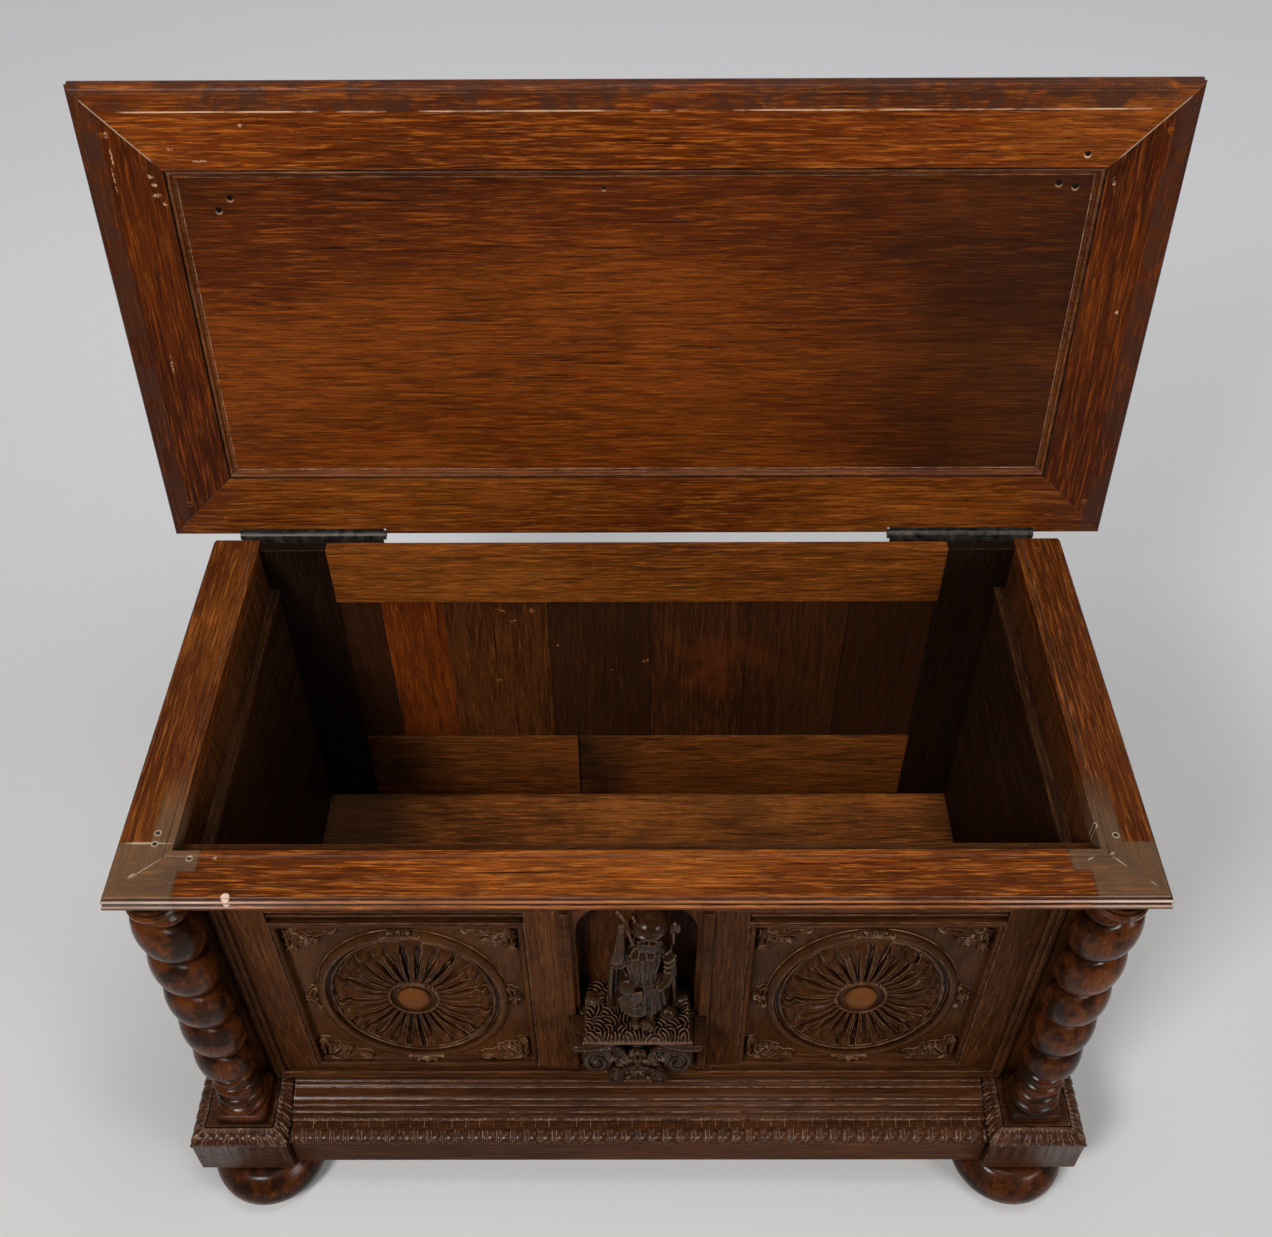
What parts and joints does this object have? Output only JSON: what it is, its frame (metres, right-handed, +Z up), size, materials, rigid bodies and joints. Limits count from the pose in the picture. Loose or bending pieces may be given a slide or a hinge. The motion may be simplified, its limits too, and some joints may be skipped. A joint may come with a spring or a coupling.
{
  "type": "carved chest",
  "caption": "Oblong cassone with a hinged mitred lid, carved front panels and niche, twisted corner columns, moulded plinth and bun feet.",
  "frame": {"origin": "on the floor, under the middle of the overall box with the lid open", "axes": "+X to the chest's right-hand end seen from the front, +Y to the back, +Z up"},
  "size_m": [1.3, 0.7689, 1.3394],
  "materials": {
    "hinge_iron": "dark worn iron",
    "light_plank": "waxed, lighter replaced plank",
    "inner_wood": "dry waxed inside faces",
    "rim_wood": "polished, worn at the corners",
    "lid_panel_wood": "waxed",
    "lid_wood": "polished",
    "carved_wood": "dark polished carving",
    "turned_wood": "glossy dark polish",
    "dark_wood": "dark polish"
  },
  "bodies": {
    "chest": {"apron_front": "dark_wood", "aprons_side": "dark_wood", "back_light_plank": "light_plank", "back_low_boards": "inner_wood", "back_planks": "inner_wood", "back_stiles": "inner_wood", "back_top_rail": "inner_wood", "base_moulding_front": "dark_wood", "base_mouldings_side": "dark_wood", "bracket": "carved_wood", "carved_panel_left": "carved_wood", "carved_panel_right": "carved_wood", "column_left": "turned_wood", "column_right": "turned_wood", "figure": "carved_wood", "floor_bearers": "inner_wood", "floor_boards": "inner_wood", "foot_front_left": "turned_wood", "foot_front_right": "turned_wood", "foot_rear_left": "turned_wood", "foot_rear_right": "turned_wood", "front_bottom_rail": "dark_wood", "front_edge_moulding": "dark_wood", "front_muntins": "dark_wood", "front_stiles": "dark_wood", "front_top_rail": "dark_wood", "hinge_leaf_left": "hinge_iron", "hinge_leaf_right": "hinge_iron", "hinge_pins": "hinge_iron", "hinge_screws": "hinge_iron", "mound": "carved_wood", "niche_arch": "dark_wood", "niche_case": "dark_wood", "niche_mouldings": "dark_wood", "panel_mouldings": "dark_wood", "plinth_block_left": "dark_wood", "plinth_block_right": "dark_wood", "rear_blocks": "dark_wood", "rim_front_rail": "rim_wood", "rim_left_rail": "rim_wood", "rim_pegs": "dark_wood", "rim_right_rail": "rim_wood", "shelf": "carved_wood", "side_battens": "inner_wood", "side_frame_left": "dark_wood", "side_frame_right": "dark_wood", "side_lining_left": "inner_wood", "side_lining_right": "inner_wood", "side_panels": "dark_wood"},
    "lid": {"lid_front_rail": "lid_wood", "lid_leaf_left": "hinge_iron", "lid_leaf_right": "hinge_iron", "lid_panel": "lid_panel_wood", "lid_pegs": "lid_wood", "lid_rear_rail": "lid_wood", "lid_screws": "hinge_iron", "lid_stile_left": "lid_wood", "lid_stile_right": "lid_wood", "lid_strips": "lid_wood"}
  },
  "joints": [
    {"name": "lid_hinge", "type": "hinge", "parent": "chest", "child": "lid", "pos_m": [0, 0.27487, 0.7295], "axis": [-1, 0, 0], "range_deg": [-97.7, 0]}
  ]
}
